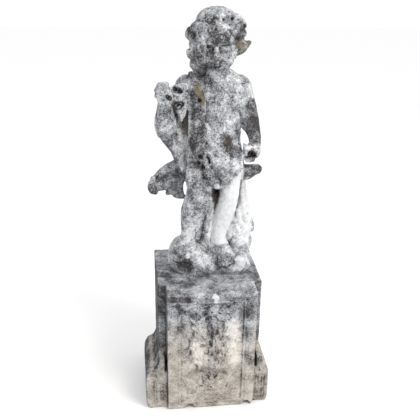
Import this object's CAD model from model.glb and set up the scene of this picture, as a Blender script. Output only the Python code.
"""A weathered limestone putto on its carved pedestal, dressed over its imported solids."""

import logging
from collections.abc import Iterator
from contextlib import contextmanager
from dataclasses import dataclass, field
from enum import Enum
from math import cos, pi, radians, sin, tau

import bpy
import numpy as np
from mathutils import Euler, Matrix, Vector, noise
from mathutils.bvhtree import BVHTree


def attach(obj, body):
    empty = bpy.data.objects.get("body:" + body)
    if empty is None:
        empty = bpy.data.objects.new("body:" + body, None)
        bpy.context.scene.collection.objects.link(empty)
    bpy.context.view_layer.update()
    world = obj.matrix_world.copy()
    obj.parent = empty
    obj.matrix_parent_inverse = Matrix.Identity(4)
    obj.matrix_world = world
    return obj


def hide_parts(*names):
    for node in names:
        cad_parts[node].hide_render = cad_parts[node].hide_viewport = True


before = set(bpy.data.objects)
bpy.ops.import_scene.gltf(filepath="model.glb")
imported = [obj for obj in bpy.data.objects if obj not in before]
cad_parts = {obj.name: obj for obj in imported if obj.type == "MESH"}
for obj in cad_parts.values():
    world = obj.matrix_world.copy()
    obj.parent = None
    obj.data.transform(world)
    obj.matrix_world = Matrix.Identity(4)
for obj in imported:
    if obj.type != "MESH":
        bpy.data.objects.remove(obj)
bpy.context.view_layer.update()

log = logging.getLogger("putto")

Piece = bpy.types.Object
Socket = bpy.types.NodeSocket
Rows = np.ndarray
Point = tuple[float, float, float]
Station = tuple[float, float, float, float]

# Sizes that both stones share, in metres
FIGURE_HEIGHT = 0.995
PLAN_SHIFT = 0.011
GRAIN = 0.0021
FLESH_GRAIN = 0.005
# The most triangles that a stone keeps
MOST_TRIANGLES = 190_000
# The turn in radians that spreads rays evenly over the sky
GOLDEN_ANGLE = 2.399963
# What a ray counts for where it only grazes the stone, and how far above the skin it starts
LEAST_LIGHT = 0.15
RAY_LIFT = 0.002
# How far the edges of patches stray: the size of the strays and their reach, in metres
RAGGED_EDGES = ((0.022, 0.009), (0.007, 0.004))
# Fixes those strays, which Blender would otherwise start from the clock on each run
STRAY_SEED = 1


# Work on one piece at a time


def pick_only(*pieces: Piece) -> None:
    """Select these pieces alone and make the first one active.

    Args:
        pieces: the pieces to select.
    """
    if bpy.context.object is not None and bpy.context.object.mode != "OBJECT":
        bpy.ops.object.mode_set(mode="OBJECT")
    bpy.ops.object.select_all(action="DESELECT")
    for piece in pieces:
        piece.select_set(True)
    bpy.context.view_layer.objects.active = pieces[0] if pieces else None


def finish_with(piece: Piece, kind: str, **settings: object) -> None:
    """Give a piece a modifier and apply it.

    Args:
        piece: the mesh to change.
        kind: Blender's name for the modifier.
        settings: the modifier's own settings.
    """
    pick_only(piece)
    modifier = piece.modifiers.new(kind.title(), kind)
    for name, value in settings.items():
        setattr(modifier, name, value)
    bpy.ops.object.modifier_apply(modifier=modifier.name)


def merge(name: str, pieces: list[Piece]) -> Piece:
    """Join pieces into one mesh at the origin.

    Args:
        name: the joined piece's name.
        pieces: the pieces, all meshes.

    Returns:
        The joined piece.
    """
    pick_only(*pieces)
    bpy.ops.object.transform_apply(location=True, rotation=True, scale=True)
    bpy.ops.object.join()
    joined = bpy.context.view_layer.objects.active
    joined.name = name
    joined.data.name = name
    return joined


def read_rows(piece: Piece, kind: str) -> Rows:
    """The piece's points (co) or outward directions (normal), one row for each point."""
    found = np.empty(len(piece.data.vertices) * 3, np.float32)
    piece.data.vertices.foreach_get(kind, found)
    return found.reshape(-1, 3).astype(np.float64)


def write_points(piece: Piece, points: Rows) -> None:
    """Move the piece's points to these rows."""
    piece.data.vertices.foreach_set("co", points.astype(np.float32).ravel())
    piece.data.update()


def distance_to(points: Rows, marks: Rows) -> Rows:
    """How far each point is from the line through the marks."""
    far = np.full(len(points), np.inf)
    for a, b in zip(marks, marks[1:]):
        along = b - a
        offset = points - a
        t = np.clip(offset @ along / max(along @ along, 1e-12), 0, 1)
        far = np.minimum(far, np.linalg.norm(offset - np.outer(t, along), axis=1))
    return far


@contextmanager
def editing(piece: Piece) -> Iterator[None]:
    """Keep all of a piece picked in edit mode for the work inside."""
    pick_only(piece)
    bpy.ops.object.mode_set(mode="EDIT")
    bpy.ops.mesh.select_all(action="SELECT")
    yield
    bpy.ops.object.mode_set(mode="OBJECT")


def regrow(stone: Piece, grain: float, passes: int) -> None:
    """Give a stone an even skin.

    Args:
        stone: the stone.
        grain: the size of its faces.
        passes: how often its surface is smoothed.
    """
    finish_with(stone, "REMESH", mode="VOXEL", voxel_size=grain)
    finish_with(stone, "SMOOTH", factor=0.5, iterations=passes)


def fade(share: Rows) -> Rows:
    """A soft step from 0 to 1 as share goes from 0 to 1."""
    share = np.clip(share, 0, 1)
    return share * share * (3 - 2 * share)


def thin_out(stone: Piece) -> None:
    """Bring a stone under the most triangles that a piece may have."""
    triangles = sum(len(p.vertices) - 2 for p in stone.data.polygons)
    if triangles > MOST_TRIANGLES:
        finish_with(stone, "DECIMATE", ratio=MOST_TRIANGLES / triangles, use_collapse_triangulate=True)


def keep_main_shell(stone: Piece) -> Piece:
    """Drop the crumbs that thinning the mesh leaves beside a stone.

    Args:
        stone: the stone.

    Returns:
        Its largest shell, under the stone's name.
    """
    name = stone.name
    with editing(stone):
        bpy.ops.mesh.separate(type="LOOSE")
    *crumbs, main_shell = sorted(bpy.context.selected_objects, key=lambda shell: len(shell.data.vertices))
    for crumb in crumbs:
        bpy.data.meshes.remove(crumb.data)
    main_shell.name = name
    main_shell.data.name = name
    return main_shell


def curve_through(rows: list[tuple[float, ...]], steps: int) -> list[Vector]:
    """Points of a Catmull-Rom curve through rows of numbers.

    Args:
        rows: the numbers that the curve passes through.
        steps: how many points each stretch gets.

    Returns:
        The points along the curve.
    """
    marks = [Vector(r) for r in rows]
    marks = [2 * marks[0] - marks[1], *marks, 2 * marks[-1] - marks[-2]]
    found = []
    for i in range(1, len(marks) - 2):
        a, b, c, d = marks[i - 1 : i + 3]
        for k in range(steps):
            t = k / steps
            square = (2 * a - 5 * b + 4 * c - d) * t**2
            cube = (3 * b - a - 3 * c + d) * t**3
            found.append(0.5 * (2 * b + (c - a) * t + square + cube))
    found.append(marks[-2])
    return found


# Shapes that are gathered and then grown into one stone


@dataclass
class Block:
    """Rough shapes of one stone, in hundredths of the figure's height above its bed."""

    name: str
    origin: Vector
    unit: float
    shapes: list[Piece] = field(default_factory=list)
    rolls: list[tuple[list[Station], int]] = field(default_factory=list)

    def place(self, point: Point | Vector) -> Vector:
        """A point of the figure in metres."""
        return self.origin + Vector(point) * self.unit

    def path(self, *points: Point | Vector) -> list[Vector]:
        """Points of the figure in metres."""
        return [self.place(point) for point in points]

    def lump(self, centre: Point | Vector, radii: float | Point, turn: Point = (0, 0, 0)) -> None:
        """Add a rounded mass.

        Args:
            centre: its middle.
            radii: its three half sizes, or one for a ball.
            turn: its turn about X, Y and Z in degrees.
        """
        if isinstance(radii, (int, float)):
            radii = (radii, radii, radii)
        bpy.ops.mesh.primitive_ico_sphere_add(
            subdivisions=4 if max(radii) > 3 else 3,
            radius=1,
            location=self.place(centre),
            rotation=[radians(a) for a in turn],
            scale=[r * self.unit for r in radii],
        )
        self.shapes.append(bpy.context.object)

    def roll(self, stations: list[Station], steps: int = 6) -> None:
        """Add a round bar through stations of x, y, z and radius.

        Args:
            stations: the bar's middle and radius at each place.
            steps: how many points each stretch gets.
        """
        self.rolls.append((stations, steps))

    def lumps(self, *masses: tuple) -> None:
        """Add several rounded masses, each given as lump takes it."""
        for mass in masses:
            self.lump(*mass)

    def bars(self, *bars: list[Station]) -> None:
        """Add several round bars."""
        for stations in bars:
            self.roll(stations)

    def lay_rolls(self) -> None:
        """Turn the waiting bars into one mesh with round ends."""
        if not self.rolls:
            return
        curve = bpy.data.curves.new(self.name + "_rolls", "CURVE")
        curve.dimensions = "3D"
        curve.bevel_depth = 1.0
        curve.bevel_resolution = 3
        curve.use_fill_caps = True
        for stations, steps in self.rolls:
            rows = curve_through(stations, steps)
            start, end = rows[0], rows[-1]
            way_in = (Vector(start[:3]) - Vector(rows[1][:3])).normalized()
            way_out = (Vector(end[:3]) - Vector(rows[-2][:3])).normalized()
            caps = [(0.95, 0.31), (0.72, 0.69), (0.38, 0.92)]
            marks = [(Vector(start[:3]) + way_in * start[3] * far, start[3] * near) for far, near in caps]
            marks += [(Vector(r[:3]), r[3]) for r in rows]
            caps.reverse()
            marks += [(Vector(end[:3]) + way_out * end[3] * far, end[3] * near) for far, near in caps]
            spline = curve.splines.new("POLY")
            spline.points.add(len(marks) - 1)
            for mark, (middle, radius) in zip(spline.points, marks):
                mark.co = (*self.place(middle), 1)
                mark.radius = radius * self.unit
        bars = bpy.data.objects.new(self.name + "_rolls", curve)
        bpy.context.scene.collection.objects.link(bars)
        pick_only(bars)
        bpy.ops.object.convert(target="MESH")
        self.shapes.append(bpy.context.object)
        self.rolls.clear()

    def cloth(
        self,
        edge_a: list[Point],
        edge_b: list[Point],
        thickness: float,
        folds: float = 0,
        fold_depth: float = 0.0,
        belly: float = 0.0,
        across: int = 40,
    ) -> None:
        """Add a hanging of carved cloth between two edges, with folds that run along them.

        Args:
            edge_a: points along one edge.
            edge_b: as many points along the other.
            thickness: the cloth's thickness.
            folds: how many folds lie between the edges.
            fold_depth: half the height of a fold.
            belly: how far the middle hangs back.
            across: how many faces lie between the edges.
        """
        rails = curve_through(edge_a, 10), curve_through(edge_b, 10)
        bpy.ops.mesh.primitive_grid_add(x_subdivisions=across, y_subdivisions=len(rails[0]) - 1, size=1)
        sheet = bpy.context.object
        marks = []
        for a, b in zip(*rails):
            for k in range(across + 1):
                t = k / across
                ridge = 1 - 2 * (0.5 - 0.5 * cos(tau * folds * t))
                point = a.lerp(b, t)
                point.y += belly * sin(pi * t) - fold_depth * ridge
                marks.append(self.place(point))
        for vertex, mark in zip(sheet.data.vertices, marks):
            vertex.co = mark
        sheet.location = (0, 0, 0)
        finish_with(sheet, "SOLIDIFY", thickness=thickness * self.unit, offset=0)
        self.shapes.append(sheet)

    def grow(self, grain: float, passes: int) -> Piece:
        """Unite the shapes into one closed stone.

        Args:
            grain: the size of its faces.
            passes: how often its surface is smoothed.

        Returns:
            The stone, which replaces the shapes.
        """
        self.lay_rolls()
        stone = merge(self.name, self.shapes)
        regrow(stone, grain, passes)
        self.shapes = [stone]
        return stone


@dataclass
class Ground:
    """The rounded rock under the child's feet."""

    def rough_out(self, block: Block) -> None:
        """Add the rock's masses."""
        block.lumps(
            ((2, 5.5, 2), (16.5, 9, 7.5)), ((-9, 1, 6.6), (6.5, 6.8, 8.2), (0, 8, 0)),
            ((-2.4, -1.6, 5.6), (7.8, 6.2, 5.3), (0, 32, 0)), ((-3.8, 0.2, 2.2), (7.6, 6.6, 6.2)),
            ((0.6, 2.8, 7), (7.5, 6, 7)), ((10.2, -0.8, 2.4), (7.2, 5.6, 4.6)),
            ((11.6, 2, 5.2), (6, 4.8, 4.8)), ((14, 4.2, 3), (4.4, 5.4, 5.4)),
        )


@dataclass
class Flesh:
    """Legs, trunk, neck and arms, smooth as a small child's."""

    chest_width: float = 8.8
    belly_depth: float = 8.2

    def legs(self, block: Block) -> None:
        """The right leg, which carries the mantle, and the bare left one."""
        block.bars(
            [(-2.6, 4, 44, 6), (-2.8, 1.5, 38, 5.4), (-3.3, -0.4, 33, 5), (-4.6, -0.2, 28, 5.1),
             (-5.7, 0.4, 24.5, 4.8), (-6.4, 0.9, 21, 4.2), (-7.2, 1, 17, 3.2), (-7.7, 0.7, 13.5, 2.9)],
            [(7.4, 4.5, 44, 5.6), (8.2, 1.6, 38, 4.6), (8, -0.4, 33, 3.9), (7.5, 0.2, 28.5, 4),
             (6.6, 0.8, 24, 4), (5.6, 0.9, 20, 3.6), (4.6, 0.6, 16, 3.2), (4.2, 0.3, 12.4, 3.1)],
        )
        block.lumps(((7.9, -2, 32), (3, 2.4, 3)), ((-2.8, -2.8, 30.6), (3.6, 2.4, 3.6)))
        for ankle, instep, ball in (
            ((-8.2, 0.4, 12), (-9.2, -1.6, 11.2), (-10.2, -3.6, 8.8)),
            ((4.4, 0.4, 12), (5.8, -2.2, 10.2), (7.4, -4.6, 7.2)),
        ):
            block.roll([(*ankle, 3.3), (*instep, 3.1), (*ball, 2.6)])

    def trunk(self, block: Block) -> None:
        """Chest, round belly, hips, shoulders and neck."""
        block.lumps(
            ((3.4, 5, 65.5), (self.chest_width, 6.6, 9.5)), ((3.6, 4.8, 58), (self.chest_width, 7.4, 8.5)),
            ((3.6, 3.4, 53.5), (8.4, self.belly_depth, 7.6)), ((5.6, -0.6, 49.4), (6.8, 4.2, 4.4)),
            ((5.4, -0.8, 46.6), (7, 4.2, 4)), ((3, 4.8, 46.5), (9.4, 7.6, 7.5)),
        )
        for side in (-1, 1):
            block.lump((3.0 + 4.0 * side, 1.4, 67.0), (4.2, 3.4, 3.6))
        block.roll([(-5.8, 5.8, 71.0, 4.2), (3.2, 6.2, 72.4, 4.8), (11.6, 5.8, 71.6, 4.3)])
        block.lump((3.2, 6.6, 74.2), (8.2, 4.4, 4.6))
        block.roll([(3.2, 5.8, 71.0, 4.9), (3.0, 4.4, 75.0, 4.6), (2.9, 4.0, 80.0, 4.6)])

    def arms(self, block: Block) -> None:
        """The raised right arm and the left one that hangs to the hip."""
        block.bars(
            [(-6.6, 5.4, 70.6, 4.4), (-11.4, 3, 64.5, 3.6), (-15.2, -0.4, 59, 3.6)],
            [(-15.7, -2, 57.6, 3.9), (-16.1, -4.4, 61.4, 4), (-16.3, -5.6, 65.4, 3),
             (-16.4, -5.6, 68.6, 2.4)],
            [(12, 5.6, 71, 4.5), (14, 5.4, 66.5, 3.6), (15.4, 5, 61, 3.6), (16.4, 3.4, 56, 3.3),
             (17, 1, 52.8, 2.7), (16.6, -1.4, 51, 2.4), (15.2, -3.4, 49.9, 2.2)],
        )

    def rough_out(self, block: Block) -> None:
        """Add all of the flesh."""
        self.legs(block)
        self.trunk(block)
        self.arms(block)


@dataclass
class HandsAndFeet:
    """The fist with its bunch of cloth, the hand at the hip, and the worn toes."""

    finger: float = 1.05
    toe: float = 1.1

    def hands(self, block: Block) -> None:
        """Both hands, with four fingers and a thumb each."""
        block.lump((-16.2, -5.0, 71.2), (2.5, 2.3, 3.2))
        for level, inward, share in ((74, 0.9, 0.95), (72.6, 0.3, 1.05), (70.8, 0.3, 1), (69.1, 1.1, 0.9)):
            block.roll(
                [(-16.4 + inward, -3.6, level + 0.1, self.finger * share),
                 (-18.7 + inward, -4.6, level + 0.1, self.finger * share),
                 (-18.9 + inward, -7, level - 0.2, self.finger * share),
                 (-16.8 + inward, -8.2, level - 0.5, self.finger * share * 0.9)]
            )
        block.roll([(-14.6, -5.6, 68.4, 1.1), (-14.4, -7.8, 70.6, 1.1), (-15.6, -8.8, 73.0, 1.0)])
        block.lumps(((14.8, -3.4, 50.4), (2.7, 2.4, 2.5)), ((16.9, -2.8, 49.8), (1.9, 2.2, 3.2)))
        for k in range(4):
            block.roll(
                [(12.9 + 1.35 * k, -3.8 + 0.4 * k, 52.2 - 0.15 * k, self.finger * 0.9),
                 (12.7 + 1.35 * k, -6.1 + 0.45 * k, 51.3 - 0.15 * k, self.finger * 0.9),
                 (12.9 + 1.2 * k, -6.5 + 0.45 * k, 49.3, self.finger * 0.8)]
            )
        block.roll([(12.6, -4.4, 49.4, 1.0), (11.4, -6.0, 48.8, 1.0), (11.0, -6.8, 47.8, 0.9)])
        block.lump((14.6, -4.6, 46.9), (2.0, 1.6, 1.3))

    def feet(self, block: Block) -> None:
        """Five worn toes on each foot, and the rounded end of the rock beside the left one."""
        for ball, way, spread in (
            (Vector((-10.2, -3.6, 8.8)), Vector((-0.4, -0.8, -0.5)), Vector((5.6, -1.4, -0.8))),
            (Vector((7, -4.8, 7.2)), Vector((-0.1, -0.8, -0.7)), Vector((5, 0.6, 0.8))),
        ):
            for k in range(5):
                share = k / 4 - 0.5
                tip = ball + spread * share + way * (2.4 - 1.3 * abs(share))
                block.roll([(*(tip - way * 2.2), self.toe * 0.9), (*tip, self.toe)])
        block.lump((12.2, -4.0, 5.4), (2.4, 2.7, 4.3), (0, 8, 0))

    def rough_out(self, block: Block) -> None:
        """Add all of the fingers and toes."""
        self.hands(block)
        self.feet(block)


@dataclass
class Mantle:
    """The heavy cloth over the right shoulder, across the hips, under the raised arm and down the back."""

    def front_fall(self, block: Block) -> None:
        """The band from the right shoulder to the knee."""
        block.cloth(
            [(-9, 3.4, 72.8), (-7.4, -0.2, 69.5), (-7, -1, 64), (-7, -1.3, 57.6), (-7, -1.5, 50.2),
             (-7.5, -1.4, 44.5), (-7.9, -1.2, 38.5), (-7.4, -1.2, 33)],
            [(-5.4, 1.4, 76.6), (-3.4, -2, 71.5), (-2.4, -3.2, 66.5), (-2, -3.7, 58), (-1.7, -3.9, 50),
             (-0.8, -4, 44), (0.4, -4, 38.5), (1, -3.8, 34)],
            thickness=2.8, folds=2, fold_depth=0.14, belly=-0.9,
        )
        block.bars(
            [(-7.1, -1.2, 68.5, 0.8), (-7, -1.8, 61, 0.8), (-7, -2, 52, 0.9), (-7.6, -1.8, 44, 1),
             (-7.9, -1.4, 38, 0.9)],
            [(-6.4, 1.4, 76.6, 1.2), (-4.6, -1, 73.4, 1.1), (-3, -2.9, 69.6, 1), (-2.3, -4, 64, 0.8)],
        )
        block.lump((-8.0, 4.6, 72.4), (4.0, 4.0, 3.6), (0, -30, 0))

    def hips(self, block: Block) -> None:
        """The rolled edge under the belly, and the swag between the thighs with its deep groove."""
        block.bars(
            [(-1.5, -2.6, 59, 1.2), (-0.3, -3, 55, 1.9), (1.8, -3.4, 50.8, 2.4), (5.4, -3.6, 48, 2.3),
             (9.4, -3.4, 47.4, 1.9), (12.4, -2.8, 48.2, 1.5)],
            [(-1.6, -4.2, 52, 0.9), (0.4, -4.9, 48.6, 1.1), (3, -5.2, 46.8, 1.2), (6.3, -5.3, 46.2, 1.3),
             (9.2, -5, 46.6, 1.2), (12.2, -4.2, 47.8, 1)],
        )
        block.cloth(
            [(0.2, -3.6, 48.6), (3, -4.4, 46.8), (6.3, -4.6, 46.4), (9.2, -4.3, 46.6), (12, -3.4, 47)],
            [(0.4, -3, 37.8), (2.6, -3.6, 36.8), (5.2, -4, 37.2), (8.2, -3.6, 39.2), (11, -2.8, 43)],
            thickness=3.4, belly=-0.9,
        )
        block.bars(
            [(-2.2, -4.4, 48.4, 1), (-1.4, -5.1, 44.2, 1.4), (0, -5.5, 40.4, 1.5),
             (2.2, -5.5, 37.4, 1.4), (4.8, -5.1, 36.9, 1.1)],
            [(2, -5.3, 47, 1), (3.2, -5.9, 44.2, 1.3), (4.9, -5.9, 41.4, 1.3), (7, -5.3, 39.6, 1)],
            [(-5, -3.2, 42, 1.2), (-3, -4.2, 38.2, 1.3), (-0.4, -4.6, 35.2, 1.1)],
        )
        block.lump((7.2, -4.2, 43.2), (3.8, 2.2, 3.0), (0, 20, 0))

    def under_arm(self, block: Block) -> None:
        """The fall from the raised arm: an outer band, a lit hollow and the bunch that the fist holds."""
        block.cloth(
            [(-9.4, 4, 65.4), (-12.2, 1.6, 57), (-12.6, 1, 52.8), (-11.4, 1.2, 48.9), (-10.2, 1.8, 44.9),
             (-9, 3, 40.2)],
            [(-5.6, 3, 65.4), (-5.6, 1.2, 60.4), (-5.6, 1, 54.8), (-5.6, 1, 49.1), (-6, 1.4, 45.1),
             (-6.6, 2.8, 39.8)],
            thickness=3.2, belly=0.9, folds=1, fold_depth=0.2,
        )
        block.bars(
            [(-15.4, -0.9, 56, 2.9), (-14.6, -0.5, 53.5, 2.4), (-13.4, 0, 51.3, 2),
             (-12.3, 0.5, 49.3, 1.7), (-11.3, 1, 47, 1.4), (-10.1, 1.5, 44.3, 1.2), (-9, 2.2, 40.6, 0.9)],
            [(-13.8, 3, 55, 2), (-12.4, 3.6, 49.6, 1.8), (-10.8, 4.2, 44, 1.5), (-9.4, 4.6, 40, 1.2)],
        )
        block.cloth(
            [(-14.4, -4.2, 72.6), (-11.6, -2, 72.8), (-8.4, 1.2, 73)],
            [(-13.8, -3.8, 66.8), (-10.8, -2.8, 63.6), (-8.4, -0.4, 65.6)], thickness=3.0, across=24,
        )
        block.bars(
            [(-13.8, -5, 72.3, 1.1), (-11.4, -3.2, 72.9, 1.3), (-8.6, -0.4, 72.4, 1.4),
             (-7.2, 0.4, 71, 1.2)],
            [(-13.2, -5, 69.2, 1.1), (-10.8, -3.8, 69.6, 1.3), (-8.6, -2, 70, 1.1), (-7.4, -1.6, 68, 0.9)],
            [(-12.6, -4.6, 66.8, 1.1), (-11.2, -4, 64.6, 1.2), (-10.4, -3, 61.6, 0.7)],
            [(-9, -2.2, 68, 1), (-9.2, -2.6, 65.6, 1.1), (-9.7, -2.8, 62.8, 0.8)],
        )

    def loose_ends(self, block: Block) -> None:
        """The two ends that fly out at the hips."""
        block.cloth(
            [(-4.5, 5.8, 45.6), (-13, 6.2, 43.2), (-17.4, 6, 39.8), (-20.2, 5.4, 36.4)],
            [(-5.5, 8, 27.6), (-11.6, 7.6, 27.8), (-15.2, 6.8, 31.4), (-20, 5.6, 31.8)], thickness=2.2,
            folds=1.5, fold_depth=0.8,
        )
        block.bars(
            [(-20.4, 5, 37, 1.1), (-21.2, 4.4, 34.8, 1.4), (-21, 4.2, 32.6, 1.4), (-19.6, 4.6, 31.6, 1)],
            [(-9, 6, 44.2, 1.1), (-14, 6.2, 41.8, 1.2), (-18.4, 5.6, 38.6, 1.1), (-20.2, 5, 36.6, 0.9)],
            [(-7.2, 6.4, 35, 1.4), (-11.4, 6.2, 31.8, 1.4), (-14.8, 6.2, 30.6, 1)],
            [(11.4, 3.8, 40, 2.6), (14.6, 3.4, 39.2, 3.2), (18.1, 2.9, 40.5, 2.2)],
        )
        block.lump((18.6, 2.6, 40.6), (2.3, 1.9, 2.1))

    def back(self, block: Block) -> None:
        """The fall down the back to the rock, and the folds beside the bare leg."""
        block.cloth(
            [(-8, 7.6, 71.4), (-9.6, 9.6, 60), (-8.6, 10, 48), (-5.2, 9.8, 34), (-5.8, 9.4, 20),
             (-8, 8.8, 6)],
            [(13.4, 7.6, 72), (13.2, 9, 60), (12.6, 9, 50), (14.2, 8.4, 36), (16.4, 8.4, 20),
             (16.6, 7.8, 6)],
            thickness=5.5, folds=5, fold_depth=0.9, across=80,
        )
        # Edge of the fall, which curls forward above the ankle
        block.roll(
            [(13, 5.6, 43, 1.5), (13.8, 6.4, 34.6, 1.3), (15.4, 6.6, 28.4, 1.3), (16.5, 6.6, 22, 1.3),
             (18.1, 5.8, 17, 1.3), (18.3, 5.2, 14.8, 1.3)]
        )
        block.cloth(
            [(12.4, 4.2, 41), (12.6, 4.2, 33), (12.2, 4.4, 26), (12.6, 4.2, 19.6), (13.4, 4.4, 15)],
            [(13.6, 5.8, 41), (14.6, 6.2, 33), (16, 6.4, 26), (17.4, 5.8, 19.6), (18.4, 5.2, 15.4)],
            thickness=2.6, folds=1.5, fold_depth=0.5, across=24,
        )
        block.bars(
            [(13.4, 3.8, 34, 0.9), (13.9, 3.6, 28, 1.1), (14.8, 3.6, 22, 1.2), (16.4, 4.2, 17.6, 1.2),
             (18, 4.8, 15, 1.1)],
            [(12.2, 3, 24, 1.2), (12.8, 2.6, 19.6, 1.4), (14.8, 3, 16.6, 1.3), (17, 4.2, 14.4, 1.1)],
        )
        # Soft heap of cloth behind the ankle
        for centre, radii in (
            ((10.6, 3.2, 14.2), (3.6, 3.4, 4.6)), ((13.8, 4, 14.2), (3.6, 3.4, 3.4)),
            ((12.2, 2.6, 9.6), (4.8, 3.6, 5)), ((15.4, 4, 9.6), (3, 3.6, 4.6)),
            ((11.4, 4.6, 18.6), (3.6, 3, 5.4)),
        ):
            block.lump(centre, radii, (0, 12, 0))
        # Upright folds between the legs
        block.bars(
            [(1.4, 3.6, 35, 1.9), (1.1, 2.4, 27, 2), (0.6, 1.9, 19.6, 2.1), (-0.2, 1.4, 12.6, 2.3)],
            [(3.6, 3.4, 30, 1.4), (2.9, 2.6, 22, 1.5), (2.1, 1.8, 13, 1.6)],
            [(-1.6, 4.4, 28, 1.4), (-2.2, 3.2, 22, 1.6), (-3.2, 2.2, 17, 1.6), (-4.2, 1.6, 13.6, 1.5)],
        )
        # Hem of the band, which ends below the knee
        block.roll(
            [(0.8, -2.8, 31, 0.9), (-0.9, -2.5, 27.4, 1.1), (-2.4, -1.6, 24, 1.1), (-3.1, -1, 20.6, 1),
             (-4.5, -0.8, 17.6, 0.8)]
        )

    def rough_out(self, block: Block) -> None:
        """Add the whole mantle."""
        self.front_fall(block)
        self.hips(block)
        self.under_arm(block)
        self.loose_ends(block)
        self.back(block)


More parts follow.
